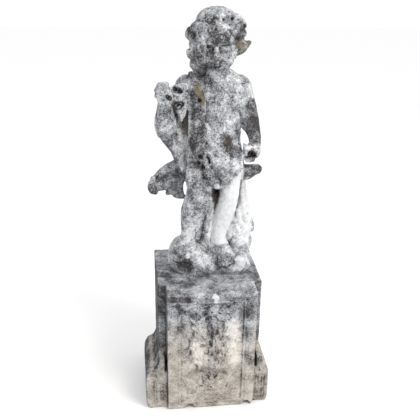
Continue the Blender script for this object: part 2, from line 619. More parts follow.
@dataclass
class Head:
    """A calm generic child's face under thick weathered curls, in the head's own frame."""

    middle: Point = (2.7, 3.6, 87.8)
    turn: Point = (9, -3, -9)
    skull: Point = (7.9, 8.6, 9.0)
    curl_turns: float = 1.15
    curl_thickness: float = 0.34
    curl_narrowing: float = 0.72

    def at(self, x: float, y: float, z: float) -> Vector:
        """A point of the head's frame in the figure's."""
        return Vector(self.middle) + Euler([radians(a) for a in self.turn]).to_matrix() @ Vector((x, y, z))

    def mass(self, block: Block, centre: Point, radii: Point) -> None:
        """A rounded mass given in the head's frame."""
        block.lump(self.at(*centre), radii, self.turn)

    def bars(self, block: Block, *bars: tuple[Station, ...], side: int = 1) -> None:
        """Round bars given in the head's frame, mirrored where side is -1."""
        for stations in bars:
            block.roll([(*self.at(x * side, y, z), radius) for x, y, z, radius in stations])

    def masses(self, block: Block) -> None:
        """Skull, jaw, chin, forehead and cheeks."""
        for centre, radii in (
            ((0, 1.2, 1), (7.3, 8.2, 8.6)),
            ((0, -2.4, -2.7), (6.1, 5.4, 7.6)),
            ((0, -2.8, -7.3), (4.9, 4.2, 3.6)),
            ((0, -6, -9.2), (1.8, 1.4, 1.3)),
            ((0, -5.3, 2.8), (5.2, 2.1, 2.8)),
            ((-3.3, -4.9, -5), (2.8, 2.4, 3)),
            ((3.3, -4.9, -5), (2.8, 2.4, 3)),
        ):
            self.mass(block, centre, radii)

    def features(self, block: Block) -> None:
        """Brows, closed lids, nose and mouth."""
        brow = ((0.9, -7.5, 0.6, 0.5), (2.8, -7.5, 1.3, 0.6), (4.9, -6, 0.4, 0.5))
        upper_lid = ((1.2, -7.3, -1.5, 0.24), (2.6, -7.7, -0.6, 0.34), (4.1, -6.6, -1.4, 0.24))
        lower_lid = ((1.3, -7.2, -1.8, 0.2), (2.6, -7.5, -2.3, 0.24), (4, -6.6, -1.7, 0.2))
        nose = ((0, -7.1, 0.4, 0.8), (0, -8.2, -2.2, 0.95), (0, -9.2, -4.3, 1.15))
        half_lip = ((0.7, -7.9, -6.2, 0.55), (1.9, -6.9, -6.6, 0.35))
        upper_lip = (*((-x, *rest) for x, *rest in reversed(half_lip)), *half_lip)
        lower_lip = ((-1.5, -7, -7.4, 0.4), (0, -7.9, -7.5, 0.68), (1.5, -7, -7.4, 0.4))
        for side in (-1, 1):
            self.mass(block, (2.6 * side, -6.3, -1.3), (1.5, 1.1, 1))
            self.bars(block, brow, upper_lid, lower_lid, side=side)
            self.mass(block, (0.95 * side, -8.1, -4.7), (0.72, 0.7, 0.6))
        self.bars(block, nose, upper_lip, lower_lip)

    def curl(
        self, block: Block, centre: Point, radius: float, hand: int, start: float, flatness: float = 0.6
    ) -> None:
        """One carved curl: a bar that winds in on itself.

        Args:
            block: the stone it belongs to.
            centre: its middle in the figure's frame.
            radius: its outer radius.
            hand: 1 or -1, the way it winds.
            start: the angle in turns at which its outer end starts.
            flatness: how far its middle stands out, as a share of its radius.
        """
        centre = Vector(centre)
        out = (centre - Vector(self.middle)).normalized()
        across = out.cross(Vector((0, 0, 1)))
        across = across.normalized() if across.length > 0.1 else Vector((1, 0, 0))
        up = across.cross(out)
        thick = radius * self.curl_thickness
        marks = []
        for k in range(10):
            share = k / 9
            a = tau * (start + hand * self.curl_turns * share)
            reach = (radius - thick) * (1 - self.curl_narrowing * share)
            spot = centre + (across * cos(a) + up * sin(a)) * reach
            spot += out * radius * flatness * (0.3 + 0.5 * share)
            marks.append((*spot, thick * (1 - 0.25 * share)))
        block.roll(marks, 3)
        block.lump(centre - out * radius * 0.25, radius * 0.86)

    def strand(
        self, block: Block, azimuth: float, low: float, high: float, thick: float, sway: float
    ) -> None:
        """A lock that runs over the skull from near the crown.

        Args:
            block: the stone it belongs to.
            azimuth: its direction in degrees, 0 over the face.
            low: the polar angle in degrees at which it starts.
            high: the polar angle at which it ends.
            thick: its radius.
            sway: how far it waves from side to side, in degrees.
        """
        marks = []
        wide, deep, tall = self.skull
        for k in range(8):
            share = k / 7
            polar = radians(low + (high - low) * share)
            turn = radians(azimuth + sway * sin(tau * share))
            out, up = sin(polar), cos(polar)
            spot = self.at(wide * out * sin(turn), 1.6 - deep * out * cos(turn), 1.4 + tall * up)
            marks.append((*spot, thick * (0.75 + 0.35 * sin(pi * share))))
        block.roll(marks, 3)

    def hair(self, block: Block) -> None:
        """Strands over the crown, curls round it, and the locks at the sides."""
        block.lump((2.6, 5.0, 90.6), (7.8, 8.2, 8.6))
        for k in range(20):
            azimuth = 360 * k / 20
            front = abs((azimuth + 180) % 360 - 180) < 62
            self.strand(block, azimuth, 14, 48 if front else 60, 1.2, 6 if k % 2 else -6)
        for row, (height, reach, count, size) in enumerate(
            ((3.6, 8, 12, 2.4), (0, 8.4, 12, 2.5), (-3.6, 8, 12, 2.4), (-6.8, 6.6, 11, 2.2)),
        ):
            for k in range(count):
                angle = tau * (k + 0.5 * (row % 2)) / count
                if cos(angle) > -0.15 or (sin(angle) > 0.6 and row > 1):
                    continue
                wobble = sin(5.1 * k + 2.3 * row)
                spot = self.at(reach * sin(angle), 1.6 - reach * cos(angle), height + 0.4 * wobble)
                self.curl(block, spot, size * (1 + 0.1 * wobble), 1 if k % 2 else -1, 0.31 * k)
        # Waves over the forehead, with the forelock in the middle
        for k in range(6):
            share = (k + 0.5) / 3 - 1
            spot = self.at(5.6 * share, -5.2 + 2.8 * share**2, 6.6 - 1.6 * share**2)
            self.curl(block, spot, 1.9, 1 if share > 0 else -1, 0.25, 0.3)
        self.bars(
            block,
            ((-0.4, -5.2, 7.8, 1.1), (-1.2, -6.6, 6.4, 1), (-1.3, -7.2, 4.9, 0.9), (-0.5, -7.3, 3.9, 0.7)),
        )
        # Large curls high at the child's left, the locks below them and the loose one behind
        block.lump((8.4, 0.6, 93.4), (3.6, 3.6, 4.0))
        for spot, *shape in (
            ((9.9, -0.6, 94.4), 2.9, 1, 0.6, 0.5),
            ((6.8, -2.8, 96.2), 2.3, -1, 0.1, 0.4),
            ((11.2, 1, 91), 2.4, 1, 0.2, 0.4),
            ((8.6, -2.2, 92), 1.8, -1, 0.7, 0.4),
            ((9, 0.8, 87), 1.9, -1, 0.5, 0.4),
        ):
            self.curl(block, spot, *shape)
        block.bars(
            [(8.2, 1.6, 88.6, 1), (8.9, 0.9, 85.6, 1), (8.6, 1, 82.6, 0.8)],
            [(8.8, 5, 86, 2.8), (11.4, 5.6, 85.4, 2.5), (13.2, 5.8, 86.2, 1.7), (14.8, 6, 87, 0.8)],
            [(9.4, 4.6, 83.8, 1.6), (11.4, 5.2, 84.2, 1.4), (13.4, 5.6, 85.8, 0.9)],
        )
        # Bunches at the child's right, down to the shoulder
        for spot, radius, hand in (
            ((-6.9, 3.2, 90.2), 2.6, -1), ((-5.2, 0.6, 92.8), 2.5, 1), ((-5.8, 1.4, 86.8), 2.5, 1),
            ((-6.3, 2.6, 83.2), 2.6, -1), ((-5.4, 2.6, 79.6), 2.4, 1), ((-3.6, 4.2, 77.6), 2.4, -1),
        ):
            self.curl(block, spot, radius, hand, 0.4, 0.35)
        block.roll(
            [(-3.4, -1, 93, 1.6), (-3.8, -0.8, 87.4, 1.8), (-3.5, 0.2, 82.6, 1.8), (-3, 1.4, 79.4, 1.7),
             (-2.8, 2.6, 77.4, 1.3)]
        )
        block.lump((-4.0, 3.4, 84.0), (2.8, 3.2, 8.4))
        block.roll(
            [(-2, -2.6, 93.4, 1.1), (-2.4, -2.4, 88, 1.1), (-2.1, -1.5, 83.4, 1), (-1.6, -0.6, 80.4, 0.8)],
        )


@dataclass(frozen=True)
class Patch:
    """A soft band along a path on the figure where one kind of weathering shows."""

    path: tuple[Point, ...]
    radius: float
    strength: float = 1.0
    softness: float = 0.35


def patches_from(*rows: tuple) -> tuple[Patch, ...]:
    """Patches from rows of path, radius, strength and softness."""
    return tuple(Patch(*row) for row in rows)


class Weathering(Enum):
    """What wind, rain and growth left on the stone; the value is the attribute's name."""

    WASHED = "washed"
    BLACKENED = "blackened"
    MOSSY = "mossy"
    SHELTERED = "sheltered"
    HOLLOW = "hollow"
    EARTHY = "earthy"


@dataclass
class Skin:
    """The points of a grown stone and the way out of it at each one."""

    stone: Piece
    points: Rows = field(init=False)
    normals: Rows = field(init=False)

    def __post_init__(self) -> None:
        """Read the stone."""
        self.points = read_rows(self.stone, "co")
        self.normals = read_rows(self.stone, "normal")

    def noise_at(self, size: float, shift: Point) -> Rows:
        """Smooth noise at each point, for bumps of a size in metres."""
        shift = Vector(shift)
        return np.array([noise.noise(Vector(p) / size + shift) for p in self.points])


@dataclass
class Carver(Skin):
    """Hollows, drills, grooves and wears the surface of a grown stone."""

    def settle(self) -> None:
        """Put the points back into the stone and read its normals anew."""
        write_points(self.stone, self.points)
        self.normals = read_rows(self.stone, "normal")

    def reach(self, centre: Vector, radii: Point, turn: Point) -> tuple[Rows, Rows, Rows]:
        """Each point's place in an ellipsoid, its distance from the middle, 1 on the rim, and the turn."""
        matrix = np.array(Euler([radians(a) for a in turn]).to_matrix())
        offset = (self.points - np.array(centre)) @ matrix / np.array(radii)
        return offset, np.sqrt((offset**2).sum(1)), matrix

    def press(self, centre: Vector, radii: Point, depth: float, turn: Point = (0, 0, 0)) -> None:
        """Press a hollow into the surface, or raise a swelling where depth is negative.

        Args:
            centre: its middle, in metres.
            radii: its three half sizes, in metres.
            depth: how far its middle goes in.
            turn: the ellipsoid's turn in degrees.
        """
        share = fade(1 - self.reach(centre, radii, turn)[1])
        touched = share > 0
        self.points[touched] -= self.normals[touched] * (share[touched] * depth)[:, None]

    def drill(self, centre: Vector, radius: float, depth: float, way: Vector) -> None:
        """Drill a round hole with steep sides.

        Args:
            centre: the hole's mouth, in metres.
            radius: its radius.
            depth: its depth.
            way: the direction in which the drill goes.
        """
        way = np.array(way.normalized())
        offset = self.points - np.array(centre)
        along = offset @ way
        far = np.linalg.norm(offset - np.outer(along, way), axis=1)
        at_mouth = (np.abs(along) < 2.5 * radius) & (self.normals @ way < 0.2)
        share = fade((1.25 - far / radius) / 0.6) * at_mouth
        self.points += np.outer(share * depth, way)

    def groove(self, path: list[Vector], width: float, depth: float) -> None:
        """Cut a rounded groove along a path on the surface.

        Args:
            path: the groove's course, in metres.
            width: its width.
            depth: its depth.
        """
        marks = np.array([tuple(p) for p in curve_through([tuple(p) for p in path], 8)])
        low, high = marks.min(0) - width, marks.max(0) + width
        touched = np.flatnonzero(((self.points > low) & (self.points < high)).all(1))
        if not len(touched):
            return
        share = fade(1 - distance_to(self.points[touched], marks) / width)
        self.points[touched] -= self.normals[touched] * (share * depth)[:, None]

    def break_off(self, centre: Vector, radii: Point, turn: Point = (0, 0, 0)) -> None:
        """Break a hollow piece away, so that no stone is left within an ellipsoid."""
        offset, reach, matrix = self.reach(centre, radii, turn)
        touched = reach < 1
        pushed = offset[touched] / np.maximum(reach[touched], 1e-3)[:, None] * np.array(radii)
        self.points[touched] = pushed @ matrix.T + np.array(centre)

    def roughen(self, size: float, amount: float, seed: float, where: Rows | float = 1.0) -> None:
        """Wear the surface unevenly.

        Args:
            size: the bumps' size in metres.
            amount: the bumps' height.
            seed: a shift that makes this wear differ from the others.
            where: how strong the wear is, for each point or for all.
        """
        bumps = self.noise_at(size, (seed, -seed, 2 * seed))
        self.points += self.normals * (bumps * amount * where)[:, None]

    def pit(self, size: float, depth: float, share: float, seed: float, where: Rows | float = 1.0) -> None:
        """Eat small pits into the surface.

        Args:
            size: the pits' spacing in metres.
            depth: the deepest pit.
            share: how much of the surface they take.
            seed: a shift that makes these pits differ from the others.
            where: how deep the pits are, for each point or for all.
        """
        bumps = self.noise_at(size, (seed, 2 * seed, -seed))
        deep = fade((bumps - (0.62 - share)) / 0.22)
        self.points -= self.normals * (deep * depth * where)[:, None]


@dataclass
class Surface(Skin):
    """What the finished stone's skin is like at each point, kept as attributes for its finish."""

    pairs: Rows = field(init=False)

    def __post_init__(self) -> None:
        """Read the finished stone, with the pairs of points that its edges join."""
        super().__post_init__()
        edges = np.empty(len(self.stone.data.edges) * 2, np.int32)
        self.stone.data.edges.foreach_get("vertices", edges)
        self.pairs = edges.reshape(-1, 2)

    def spread(self, values: Rows, passes: int) -> Rows:
        """Average values with their neighbours'.

        Args:
            values: one row for each point.
            passes: how often.

        Returns:
            The averaged values.
        """
        a, b = self.pairs[:, 0], self.pairs[:, 1]
        count = np.bincount(a, minlength=len(values)) + np.bincount(b, minlength=len(values))
        flat = values.reshape(len(values), -1).astype(np.float64)
        for _ in range(passes):
            for k in range(flat.shape[1]):
                column = flat[:, k]
                total = np.bincount(a, column[b], len(column)) + np.bincount(b, column[a], len(column))
                flat[:, k] = 0.5 * column + 0.5 * total / np.maximum(count, 1)
        return flat.reshape(values.shape)

    def hollows(self, passes: int, depth: float) -> Rows:
        """How far each point lies below its surroundings: 1 in a hollow, -1 on a ridge."""
        gap = ((self.spread(self.points, passes) - self.points) * self.normals).sum(1)
        return np.clip(gap / depth, -1, 1)

    def shelter(self, rays: int, reach: float) -> Rows:
        """How much of the sky the stone hides from each of its points, 0 to 1."""
        tree = BVHTree.FromPolygons(
            [tuple(p) for p in self.points], [tuple(f.vertices) for f in self.stone.data.polygons]
        )
        ways = []
        for k in range(rays):
            height = 1 - (k + 0.5) / rays * 1.05
            turn = k * GOLDEN_ANGLE
            flat = max(0.0, 1 - height**2) ** 0.5
            ways.append(Vector((flat * cos(turn), flat * sin(turn), height)))
        hidden = np.zeros(len(self.points))
        total = np.zeros(len(self.points))
        for way in ways:
            facing = self.normals @ np.array(way)
            share = np.clip(facing, 0, 1)
            total += LEAST_LIGHT + share
            hidden += np.where(facing <= 0, LEAST_LIGHT, 0)
            for i in np.flatnonzero(facing > 0):
                start = Vector(self.points[i]) + Vector(self.normals[i]) * RAY_LIFT
                if tree.ray_cast(start, way, reach)[0] is not None:
                    hidden[i] += LEAST_LIGHT + share[i]
        return self.spread(hidden / total, 2)

    def patches(self, block: Block, places: tuple[Patch, ...]) -> Rows:
        """How strongly these patches cover each point.

        Args:
            block: the stone whose frame the patches are given in.
            places: the patches.

        Returns:
            A share for each point. The patches' edges are ragged, as growth on stone is.
        """
        found = np.zeros(len(self.points))
        noise.seed_set(STRAY_SEED)
        ragged = np.zeros_like(self.points)
        for size, amount in RAGGED_EDGES:
            ragged += np.array([noise.noise_vector(Vector(p) / size) for p in self.points]) * amount
        for place in places:
            marks = [np.array(block.place(p)) for p in place.path]
            marks = marks if len(marks) > 1 else [marks[0], marks[0] + 1e-6]
            far = distance_to(self.points + ragged * min(1.0, place.radius / 3), marks)
            share = place.strength * fade((1 - far / (place.radius * block.unit)) / place.softness)
            found = found + share * (1 - found)
        return found

    def keep(self, kind: Weathering, values: Rows) -> None:
        """Store values as an attribute of the stone."""
        attribute = self.stone.data.attributes.new(kind.value, "FLOAT", "POINT")
        attribute.data.foreach_set("value", np.clip(values, 0, 1).astype(np.float32))


# Finishes


def shade(code: str) -> tuple[float, float, float, float]:
    """A colour written as six hex digits, as the shader's linear values."""
    parts = [int(code[i : i + 2], 16) / 255 for i in (1, 3, 5)]
    return (*(p / 12.92 if p <= 0.04045 else ((p + 0.055) / 1.055) ** 2.4 for p in parts), 1.0)


def add_node(
    material: bpy.types.Material,
    kind: str,
    settings: dict[str, object] | None = None,
    sockets: dict[str | int, object] | None = None,
) -> bpy.types.Node:
    """Add a node to a material.

    Args:
        material: the material.
        kind: the node's type, without its common prefix.
        settings: the node's own properties.
        sockets: a value or another node's output for each input.

    Returns:
        The node.
    """
    tree = material.node_tree
    node = tree.nodes.new("ShaderNode" + kind)
    for name, value in (settings or {}).items():
        setattr(node, name, value)
    for name, value in (sockets or {}).items():
        if isinstance(value, Socket):
            tree.links.new(value, node.inputs[name])
        else:
            node.inputs[name].default_value = value
    return node


@dataclass
class Bench:
    """A stone's material in the making: each method adds one node and hands on its output."""

    material: bpy.types.Material

    def add(self, kind: str, sockets: dict, output: str | int = 0, **settings: object) -> Socket:
        """Add a node of this kind and hand on one of its outputs."""
        return add_node(self.material, kind, settings, sockets).outputs[output]

    def noise_at(self, where: Socket, size: float, detail: float, rough: float) -> Socket:
        """Noise whose features have a real size in metres."""
        sockets = {"Vector": where, "Scale": 1 / size, "Detail": detail, "Roughness": rough}
        return self.add("TexNoise", sockets, "Fac")

    def step(self, value: Socket, low: float, high: float) -> Socket:
        """A value spread from 0 at low to 1 at high, with soft ends."""
        sockets = {"Value": value, "From Min": low, "From Max": high}
        return self.add("MapRange", sockets, "Result", interpolation_type="SMOOTHSTEP")

    def add_share(self, value: Socket, factor: float, rest: Socket | float) -> Socket:
        """A value times a factor, added to the rest."""
        return self.add("Math", {0: value, 1: factor, 2: rest}, operation="MULTIPLY_ADD")

    def product(self, a: Socket, b: Socket | float) -> Socket:
        """Two shares multiplied."""
        return self.add("Math", {0: a, 1: b}, operation="MULTIPLY", use_clamp=True)

    def blend(self, share: Socket, under: Socket | str, over: Socket | str) -> Socket:
        """One colour laid over another."""
        under, over = (shade(colour) if isinstance(colour, str) else colour for colour in (under, over))
        return self.add("Mix", {0: share, 6: under, 7: over}, 2, data_type="RGBA")

    def ramp(self, value: Socket, colours: tuple[str, ...], marks: tuple[float, ...]) -> Socket:
        """Colours spread along a value.

        Args:
            value: the value that picks the colour.
            colours: the colours in order.
            marks: the value at which each one stands.

        Returns:
            The picked colour.
        """
        node = add_node(self.material, "ValToRGB", {}, {0: value})
        stops = node.color_ramp.elements
        while len(stops) < len(colours):
            stops.new(0.5)
        for stop, colour, mark in zip(stops, colours, marks):
            stop.position = mark
            stop.color = shade(colour)
        return node.outputs[0]

    def attribute(self, kind: Weathering) -> Socket:
        """One of the stone's weathering attributes."""
        return self.add("Attribute", {}, "Fac", attribute_name=kind.value)


def new_material(name: str) -> tuple[bpy.types.Material, bpy.types.Node]:
    """A new material and its shader."""
    material = bpy.data.materials.new(name)
    material.use_nodes = True
    return material, material.node_tree.nodes["Principled BSDF"]


@dataclass(frozen=True)
class WeatheredStone:
    """Fine limestone that has stood outdoors for a century.

    It gives the eye a mottled skin: clean white stone where rain runs, flecks of white lichen on grey,
    black crust in patches and pits, ochre moss and brown earth in the sheltered places.
    """

    name: str
    tones: tuple[str, ...] = ("#e9ebed", "#c8cbce", "#abaeb2", "#898b90", "#626266", "#3d3a39")
    sandy_tones: tuple[str, ...] = ("#dedad3", "#c8c3bb", "#b8b3ab", "#a29c94", "#837c74", "#514b45")
    marks: tuple[float, ...] = (0.10, 0.32, 0.48, 0.64, 0.80, 0.95)
    washed: tuple[str, ...] = ("#e6e8ea", "#d9dbde", "#bebfbf")
    sandy_washed: tuple[str, ...] = ("#eae6df", "#ddd8cf", "#c6c0b6")
    pit: str = "#2a2724"
    hole: str = "#42382d"
    earth: str = "#63564a"
    moss: str = "#7b6f4c"
    contrast: float = 1.0
    sandy_from: float = -2.0
    sandy_to: float = -1.0
    patch_size: float = 0.050
    mottle_size: float = 0.018
    speck_size: float = 0.0056
    grain_size: float = 0.0018
    growth_shares: tuple[float, ...] = (1.5, 1.3, 1.9)
    place_shares: tuple[float, ...] = (0.34, 0.16, 0.10)
    pits_from: float = 0.345
    pits_to: float = 0.29
    relief: float = 0.0022
    roughness: float = 0.9

    def make(self) -> bpy.types.Material:
        """Build the material.

        Returns:
            The material, ready for a piece.
        """
        material, shader = new_material(self.name)
        bench = Bench(material)
        where = bench.add("TexCoord", {}, "Object")
        washed, black, moss, shelter, hollow, earthy = (bench.attribute(kind) for kind in Weathering)

        # Growth: broad patches, mottles and specks, thicker where the place is blackened
        patches = bench.noise_at(where, self.patch_size, 3, 0.55)
        mottles = bench.noise_at(where, self.mottle_size, 7, 0.72)
        specks = bench.noise_at(where, self.speck_size, 4, 0.7)
        grain = bench.noise_at(where, self.grain_size, 3, 0.6)
        shares = [share * self.contrast for share in self.growth_shares]
        growth = 0.5 - sum(shares) / 2
        values = (patches, mottles, specks, black, hollow, shelter)
        for value, share in zip(values, (*shares, *self.place_shares)):
            growth = bench.add_share(value, share, growth)
        colour = bench.ramp(growth, self.tones, self.marks)

        # Sandy stone low down, where rain splashes and growth is thin
        sandy = bench.ramp(growth, self.sandy_tones, self.marks)
        height = bench.add("SeparateXYZ", {0: where}, "Z")
        level = bench.add_share(black, 0.45, bench.add_share(patches, 0.2, height))
        low = bench.step(level, self.sandy_to, self.sandy_from)
        colour = bench.blend(low, colour, sandy)

        # Clean stone where rain runs, with a ragged edge
        clean = bench.add_share(mottles, -0.9, bench.add_share(specks, -0.5, 0.7))
        clean = bench.step(bench.add_share(washed, 1.0, clean), 0.15, 0.9)
        spread = bench.add_share(mottles, 1.3, -0.15)
        tint, sandy_tint = (
            bench.ramp(spread, tones, (0.3, 0.6, 0.9)) for tones in (self.washed, self.sandy_washed)
        )
        colour = bench.blend(clean, colour, bench.blend(low, tint, sandy_tint))

        # Black pits, thickest where the place is blackened
        pits = bench.add_share(washed, 0.14, bench.add_share(black, -0.05, specks))
        colour = bench.blend(bench.step(pits, self.pits_from, self.pits_to), colour, self.pit)

        # Earth in the hollows and under overhangs, and moss where it is damp
        dirt = bench.step(bench.add_share(mottles, 0.7, hollow), 0.75, 1.45)
        colour = bench.blend(bench.product(dirt, 0.75), colour, self.hole)
        colour = bench.blend(bench.product(bench.step(shelter, 0.55, 1.0), 0.5), colour, self.earth)
        brown = bench.step(bench.add_share(mottles, 1.2, earthy), 0.75, 1.5)
        colour = bench.blend(bench.product(brown, 0.85), colour, self.earth)
        green = bench.step(bench.add_share(mottles, 2.2, moss), 1.35, 2.15)
        colour = bench.blend(bench.product(green, 0.7), colour, self.moss)

        # Fine grain in the tone itself
        tone_range = {"Value": grain, "From Min": 0.3, "From Max": 0.7, "To Min": 0.86, "To Max": 1.1}
        tone = bench.add("MapRange", tone_range, "Result")
        toned = bench.add("Mix", {0: 1.0, 6: colour, 7: tone}, 2, data_type="RGBA", blend_type="MULTIPLY")
        material.node_tree.links.new(toned, shader.inputs["Base Color"])
        shader.inputs["Roughness"].default_value = self.roughness
        shader.inputs["Specular IOR Level"].default_value = 0.2

        # Relief too fine for the mesh
        rise = bench.add_share(specks, 1.8, bench.add_share(mottles, 2.6, grain))
        normal = bench.add("Bump", {"Strength": 0.8, "Distance": self.relief, "Height": rise}, "Normal")
        material.node_tree.links.new(normal, shader.inputs["Normal"])
        return material


def coat(surface: Surface, shares: dict[Weathering, Rows], finish: WeatheredStone) -> None:
    """Keep each kind of weathering on a stone and give the stone its one finish.

    Args:
        surface: the stone's surface.
        shares: how strong each kind is at each point.
        finish: the finish.
    """
    for kind, values in shares.items():
        surface.keep(kind, values)
    surface.stone.data.materials.clear()
    surface.stone.data.materials.append(finish.make())
    pick_only(surface.stone)
    bpy.ops.object.shade_smooth()


@dataclass(frozen=True)
class PaleFloor:
    """A matt studio floor: white, so that the stone stands clear of it."""

    name: str = "studio_floor"
    colour: str = "#fbfbfb"

    def make(self) -> bpy.types.Material:
        """Build the material."""
        material, shader = new_material(self.name)
        shader.inputs["Base Color"].default_value = shade(self.colour)
        shader.inputs["Roughness"].default_value = 0.95
        shader.inputs["Specular IOR Level"].default_value = 0.1
        return material


# The two stones


@dataclass
class Putto:
    """The child, its mantle and its rock as one stone."""

    bed: float = 0.5203
    washed_places: tuple[Patch, ...] = patches_from(
        (
            ((9.8, -1, 42), (8.4, -0.5, 33), (7.6, 0.2, 28), (5.8, 0.6, 20), (4.8, 0.4, 15)), 5.4, 1.0,
            0.25,
        ),
        (((13.6, 5, 38), (14.4, 4.6, 28)), 5.0, 0.6, 0.5),
        (((14.6, 4.4, 24), (14.8, 4.2, 20), (13.4, 3, 12)), 5.2, 0.85, 0.4),
        (((2.6, 2, 28), (1.8, 2, 19), (0.6, 1.6, 13.5)), 2.8, 0.42, 0.7),
        (((12.4, -6.4, 6.6), (12.2, -6.8, 3.6)), 2.9, 0.9, 0.5),
        (((0.6, -0.8, 76.4), (3.6, -1.4, 75.2), (7, -0.8, 76.2)), 2.3, 0.9, 0.8),
        (((-5.6, -2.6, 24), (-7.2, -2.6, 15)), 5.4, 0.6, 0.9),
        (((-3.6, -9, 8), (3, -9, 6)), 4.4, 0.3, 0.9),
        (((13.2, -6.6, 52), (16.6, -5, 51.8)), 1.2, 0.85, 0.8),
        (((2.6, 0, 98), (2.6, 6, 99)), 6.0, 0.2, 0.8), (((-8.2, -5.6, 9),), 1.6, 0.9, 0.6),
        (((6.6, -4.4, 63), (9, -3, 58)), 4.4, 0.3, 0.9),
        (((-9.6, 0.4, 55), (-9.6, 1, 43)), 3.2, 0.58, 0.6),
        (((9, -2.6, 12), (13, -3, 9)), 3.4, 0.3, 0.9),
    )
    black_places: tuple[Patch, ...] = patches_from(
        (((-4.2, -3.6, 73), (-4.6, -3.6, 67), (-4.4, -4.2, 56), (-4.4, -4.2, 47)), 3.4, 0.85, 0.5),
        (((2.4, -5.6, 86), (2.2, -5.6, 81)), 7.4, 0.6, 0.35),
        (((11, -1.6, 87.6), (12.6, 6, 85.6)), 4.2, 0.9, 0.5),
        (((1, -4, 95.4), (1.4, -5.2, 92.4)), 2.6, 1.5, 0.6),
        (((-12.6, -4.6, 72.6), (-10.8, -4.4, 72)), 1.5, 1.3, 0.5),
        (((-12.2, -5, 67.2), (-10.6, -4.6, 67)), 1.8, 1.3, 0.5),
        (((-4, -5, 48.4), (-4.2, -5.2, 45.6), (-2.6, -5.2, 44.4)), 1.5, 0.9, 0.6),
        (((-4.6, 1, 92), (-4.6, 1, 79)), 4.6, 0.5, 0.4),
        (((16.6, 3, 64), (18, 0, 54)), 4.4, 1.15, 0.5),
        (((-8, 5, 38), (-20, 5, 36)), 9.0, 0.36, 0.3),
        (((-4, -4, 44), (-4, -4, 34)), 5.0, 0.25, 0.5),
        (((0, -6, 44), (3, -6, 38)), 4.0, 0.3, 0.5),
        (((-11, -4.6, 10), (-8.6, -5, 4)), 4.4, 0.85, 0.6),
        (((13.8, -6.4, 49.2), (16, -5.6, 47.6)), 2.6, 0.9, 0.5),
        (((8.6, -3.6, 95), (10.6, -2.4, 92)), 3.2, 0.7, 0.7),
        (((-17.6, -7, 74), (-18, -7.4, 70)), 3.0, 0.3, 0.8),
        (((5.6, -5.2, 54.4), (8.6, -4.6, 50.4)), 3.4, 0.7, 0.6),
        (((16, 3, 40), (20, 2, 40.5)), 4.4, 0.6, 0.4),
        (((-16, -4, 62), (-15, 0, 55), (-11, 1, 46)), 4.4, 0.36, 0.4),
    )
    mossy_places: tuple[Patch, ...] = patches_from(
        (((-7.2, -1.6, 78.4), (-5.8, -2.8, 75.2), (-3.6, -4.2, 71), (-1.8, -5, 67)), 2.2, 1.0, 0.9),
        (((-5.6, 1, 92), (-5.6, 1, 80)), 3.6, 0.5, 0.9),
        (((11, -1.6, 87.6), (12.6, 6, 85.6)), 4.2, 0.7, 0.7),
    )
    earthy_places: tuple[Patch, ...] = patches_from(
        (((5.6, -5.2, 54.4), (8.6, -4.6, 50.4)), 3.2, 0.3, 0.6),
        (((-8.1, 0.6, 61), (-7.8, 0.2, 56)), 2.2, 0.9, 0.7),
        (((-9.6, 0.4, 54), (-9.6, 1, 43)), 3.2, 0.3, 0.7),
        (((3.6, 1, 31.4), (3.4, 1, 29.6)), 2.6, 1.0, 0.5),
        (((-11.6, -4, 69.4), (-10.4, -4, 65.4)), 2.4, 0.4, 0.9),
        (((2.2, -4.4, 79), (3.4, -4.4, 78.6)), 3.0, 0.4, 0.9),
        (((-3, -2, 24), (-3.6, 0, 16)), 2.6, 0.4, 0.9),
        (((2, -5.6, 45), (6, -5.6, 44)), 2.4, 0.35, 0.9),
    )

    def face_marks(self, dark: bool) -> tuple[Patch, ...]:
        """Growth in the hollows of the face, or the pale flecks on what stands out of it."""
        if dark:
            rows = (
                (((-4.1, -6.7, -1.9), (-1.5, -7.4, -2)), 0.8, 1.9),
                (((4.1, -6.7, -1.9), (1.5, -7.4, -2)), 0.8, 1.9),
                (((-1.8, -7.3, -6.7), (0, -8.3, -7), (1.8, -7.3, -6.7)), 0.6, 1.9),
            )
        else:
            rows = (
                (((-3.2, -7.2, -4.4), (-4.4, -6.4, -5.4)), 1.7, 0.42),
                (((3.2, -7.2, -4.4), (4.4, -6.4, -5.4)), 1.7, 0.42),
                (((0, -8, -0.6), (0, -9.4, -4.4)), 1.4, 0.5),
                (((-1.2, -7.2, -9.2), (1.2, -7.2, -9.2)), 1.6, 0.42),
            )
        head = Head()
        placed = ((tuple(head.at(*mark) for mark in marks), *shape, 0.7) for marks, *shape in rows)
        return patches_from(*placed)

    def block(self, name: str) -> Block:
        """An empty block for the figure's shapes."""
        return Block(name, Vector((PLAN_SHIFT, 0, self.bed)), FIGURE_HEIGHT / 100)

    def carve(self) -> Piece:
        """Grow the flesh, then the cloth, hair and features over it.

        Returns:
            The figure as one closed stone.
        """
        block = self.block("putto_on_rock")
        head = Head()
        Ground().rough_out(block)
        Flesh().rough_out(block)
        head.masses(block)
        block.grow(FLESH_GRAIN, 8)
        HandsAndFeet().rough_out(block)
        Mantle().rough_out(block)
        head.features(block)
        head.hair(block)
        stone = block.grow(GRAIN, 0)
        self.open_gaps(block, stone)
        regrow(stone, GRAIN, 3)
        self.cut_details(block, stone)
        thin_out(stone)
        self.flatten_bed(stone)
        return keep_main_shell(stone)

